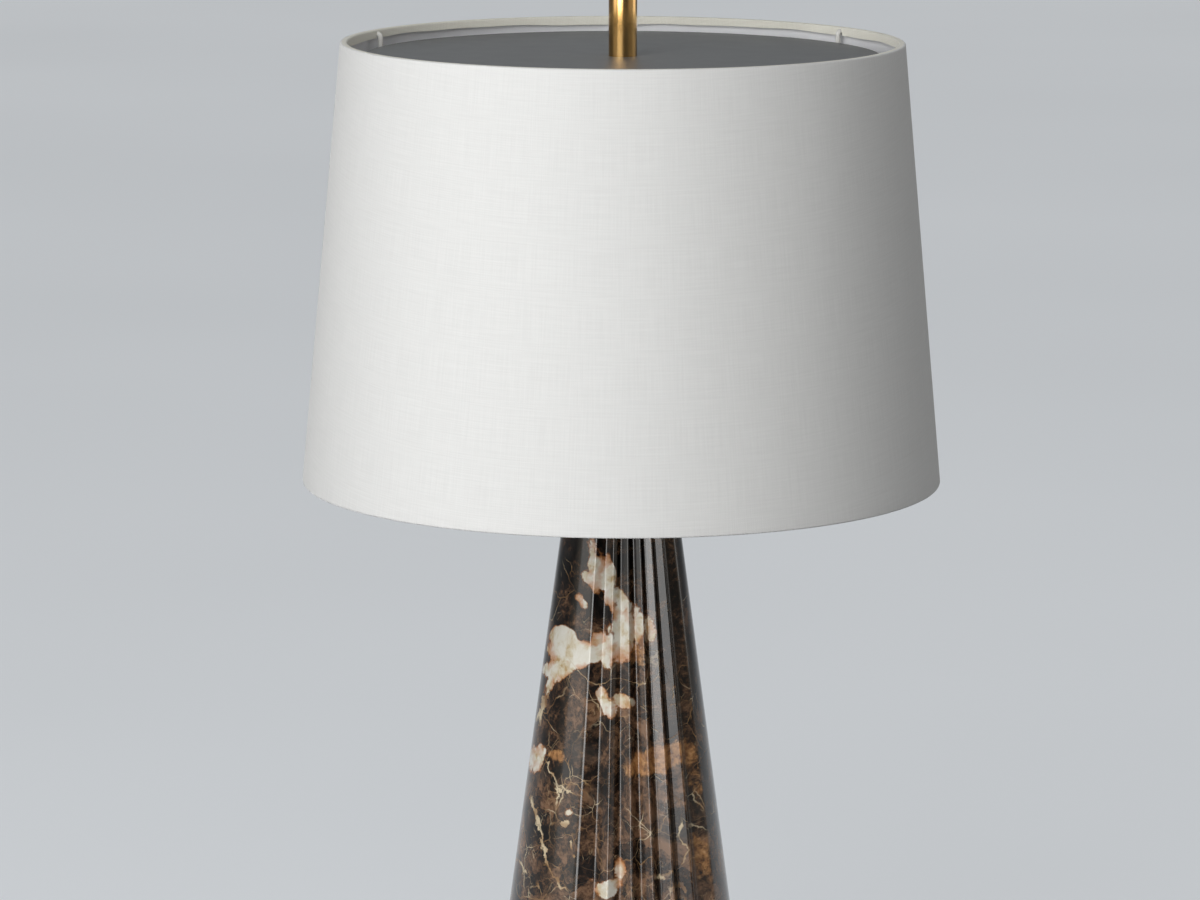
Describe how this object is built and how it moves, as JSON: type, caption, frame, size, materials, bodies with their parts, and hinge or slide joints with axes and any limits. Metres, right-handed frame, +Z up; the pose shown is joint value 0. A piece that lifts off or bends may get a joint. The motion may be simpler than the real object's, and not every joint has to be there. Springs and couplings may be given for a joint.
{
  "type": "table lamp",
  "caption": "Table lamp: fluted dark marble cone, tapered white linen drum shade on a harp, grey top diffuser and a long satin brass finial.",
  "frame": {"origin": "on the table, at the middle of the felt pad's underside", "axes": "+Z up along the lamp's axis, -Y towards the front with the switch knob, +X to the right seen from the front"},
  "size_m": [0.4063, 0.4064, 0.7902],
  "materials": {
    "felt": "wool felt, matt",
    "marble": "polished dark brown marble with cream and tan veins",
    "zinc": "bright zinc plate on steel",
    "brass_hardware": "plain machined brass",
    "bushing_plastic": "moulded black nylon",
    "cork": "pressed cork sheet",
    "satin_brass": "lengthwise satin brushed, lacquered",
    "holder_brass": "drawn sheet brass, satin",
    "paper_fibre": "vulcanised fibre sleeve",
    "phenolic": "moulded black phenolic",
    "knob_plastic": "moulded black phenolic, satin",
    "shell_brass": "rolled thin brass thread",
    "contact_brass": "stamped spring brass",
    "screw_brass": "machined brass screws",
    "solder": "tinned contact",
    "vitrite": "black glassy insulator",
    "cap_metal": "rolled nickel-finish screw cap",
    "bulb_plastic": "moulded white plastic housing",
    "board": "white lacquered circuit board with yellow emitters",
    "opal": "opal blown plastic globe",
    "harp_brass": "brass-plated spring wire",
    "ferrule_brass": "brass-plated pressed sleeve",
    "white_wire": "white powder-coated steel",
    "styrene": "white styrene sheet laminated to the linen",
    "linen": "plain-weave white linen",
    "hem_linen": "plain-weave white linen, folded round the ring",
    "diffuser": "satin frosted sheet, grey when the lamp is off"
  },
  "bodies": {
    "base": {"felt_pad": "felt", "stone_body": "marble", "centre_pipe": "zinc", "base_washer": "zinc", "lock_washer": "zinc", "base_nut": "brass_hardware", "cord_bushing": "bushing_plastic", "cork_washer": "cork", "neck_cap": "satin_brass", "neck_collar": "satin_brass", "harp_saddle": "zinc", "holder_cap": "holder_brass", "holder_shell": "holder_brass", "insulating_sleeve": "paper_fibre", "switch_body": "phenolic", "screw_shell": "shell_brass", "centre_contact": "contact_brass", "terminal_screws": "screw_brass"},
    "switch": {"switch_shaft": "zinc", "switch_knob": "knob_plastic"},
    "bulb": {"bulb_contact": "solder", "bulb_insulator": "vitrite", "bulb_cap": "cap_metal", "bulb_housing": "bulb_plastic", "led_board": "board", "bulb_globe": "opal"},
    "harp": {"harp_wire": "harp_brass", "harp_stud": "harp_brass"},
    "ferrule_l": {"ferrule_left": "ferrule_brass"},
    "ferrule_r": {"ferrule_right": "ferrule_brass"},
    "diffuser": {"diffuser_disc": "diffuser"},
    "shade": {"spider_hub": "white_wire", "spider_arms": "white_wire", "shade_top_ring": "white_wire", "shade_bottom_ring": "white_wire", "shade_liner": "styrene", "shade_linen": "linen", "shade_top_hem": "hem_linen", "shade_bottom_hem": "hem_linen"},
    "finial": {"finial_tube": "satin_brass", "finial_insert": "brass_hardware", "finial_cap": "satin_brass"}
  },
  "joints": [
    {"name": "harp_lift", "type": "slide", "parent": "base", "child": "harp", "axis": [0, 0, 1], "range_m": [0, 0.03]},
    {"name": "ferrule_left_slide", "type": "slide", "parent": "harp", "child": "ferrule_l", "axis": [0, 0, 1], "range_m": [0, 0.0185]},
    {"name": "ferrule_right_slide", "type": "slide", "parent": "harp", "child": "ferrule_r", "axis": [0, 0, 1], "range_m": [0, 0.0185]},
    {"name": "switch_turn", "type": "hinge", "parent": "base", "child": "switch", "pos_m": [0, -0.02, 0.4981], "axis": [0, -1, 0], "continuous": true},
    {"name": "bulb_screw", "type": "hinge", "parent": "base", "child": "bulb", "pos_m": [0, 0, 0.56], "axis": [0, 0, 1], "continuous": true},
    {"name": "shade_lift", "type": "slide", "parent": "harp", "child": "diffuser", "axis": [0, 0, 1], "range_m": [0, 0.3]},
    {"name": "shade_turn", "type": "hinge", "parent": "diffuser", "child": "shade", "pos_m": [0, 0, 0.7], "axis": [0, 0, 1], "continuous": true},
    {"name": "finial_turn", "type": "hinge", "parent": "diffuser", "child": "finial", "pos_m": [0, 0, 0.75], "axis": [0, 0, 1], "continuous": true}
  ]
}
